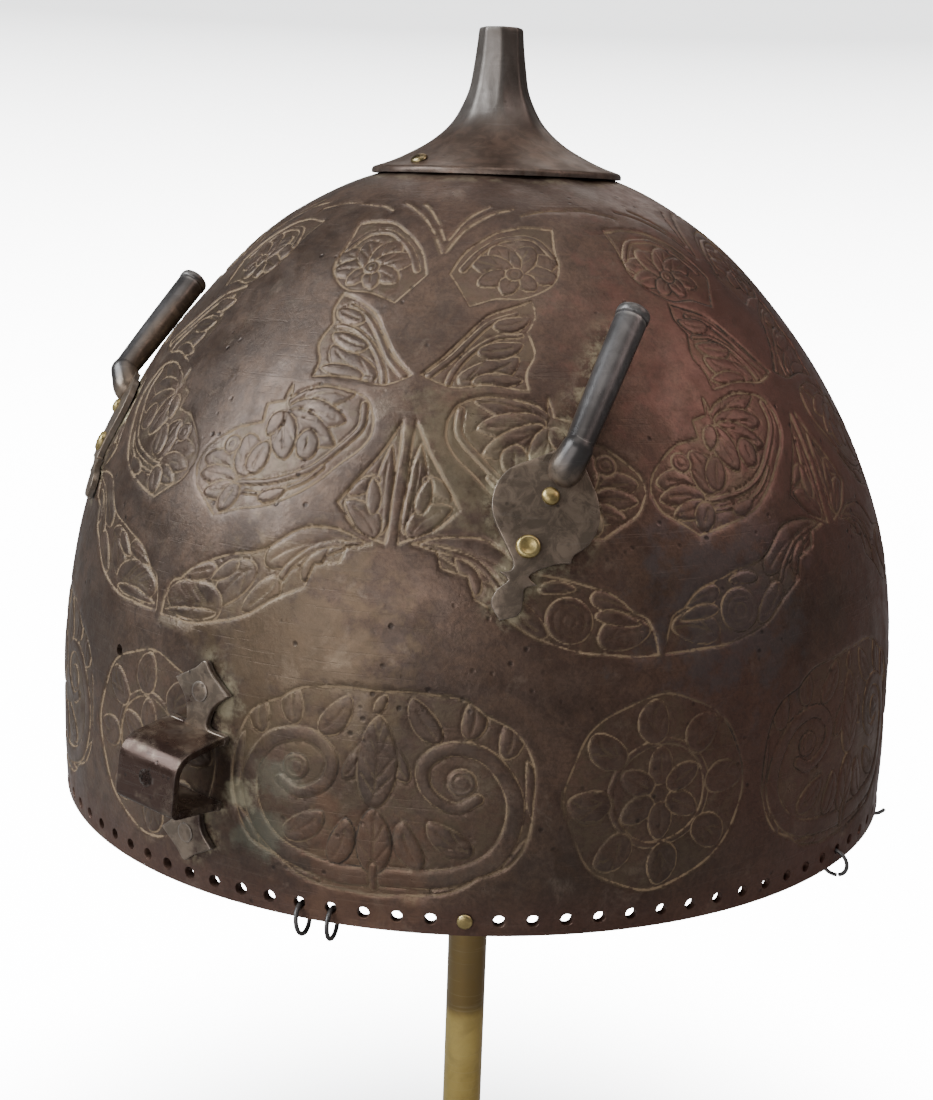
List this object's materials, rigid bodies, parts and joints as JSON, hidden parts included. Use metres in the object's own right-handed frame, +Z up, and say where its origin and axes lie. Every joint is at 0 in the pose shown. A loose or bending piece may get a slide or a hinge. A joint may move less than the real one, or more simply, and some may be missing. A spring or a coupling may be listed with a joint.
{
  "type": "domed iron helmet with plume holders on a plain post stand",
  "caption": "Domed iron kulah khud helmet with a socketed finial, plume holders, nasal bridge and pierced rim, on a plain brass post with a round base.",
  "frame": {"origin": "under the middle of the stand's base, on the axis of the post and the helmet", "axes": "+Z up; the helmet's nasal bridge faces -Y; +X is on the wearer's left"},
  "size_m": [0.1985, 0.2141, 0.3396],
  "materials": {
    "brown_iron": "chiselled iron with a brown patina, semi gloss",
    "worn_steel": "worn steel with a brown patina",
    "dark_iron": "dark forged iron, bright on worn edges",
    "ring_iron": "dark drawn iron wire",
    "rivet_brass": "aged brass",
    "post_brass": "dull brass rod",
    "stand_black": "satin black paint on steel"
  },
  "bodies": {
    "root": {"bowl": "brown_iron", "finial": "worn_steel", "finial_rivet_front": "rivet_brass", "finial_rivet_rear": "rivet_brass", "plume_holder_right": "dark_iron", "plume_rivet_right_upper": "rivet_brass", "plume_rivet_right_lower": "rivet_brass", "plume_holder_left": "dark_iron", "plume_rivet_left_upper": "rivet_brass", "plume_rivet_left_lower": "rivet_brass", "nasal_bracket": "dark_iron", "nasal_rivet_upper": "dark_iron", "nasal_rivet_lower": "dark_iron", "mail_ring_1": "ring_iron", "mail_ring_2": "ring_iron", "mail_ring_3": "ring_iron", "mail_stub": "ring_iron", "rim_plug": "rivet_brass", "stand_base": "stand_black", "stand_post": "post_brass", "stand_pad": "stand_black"}
  },
  "joints": []
}
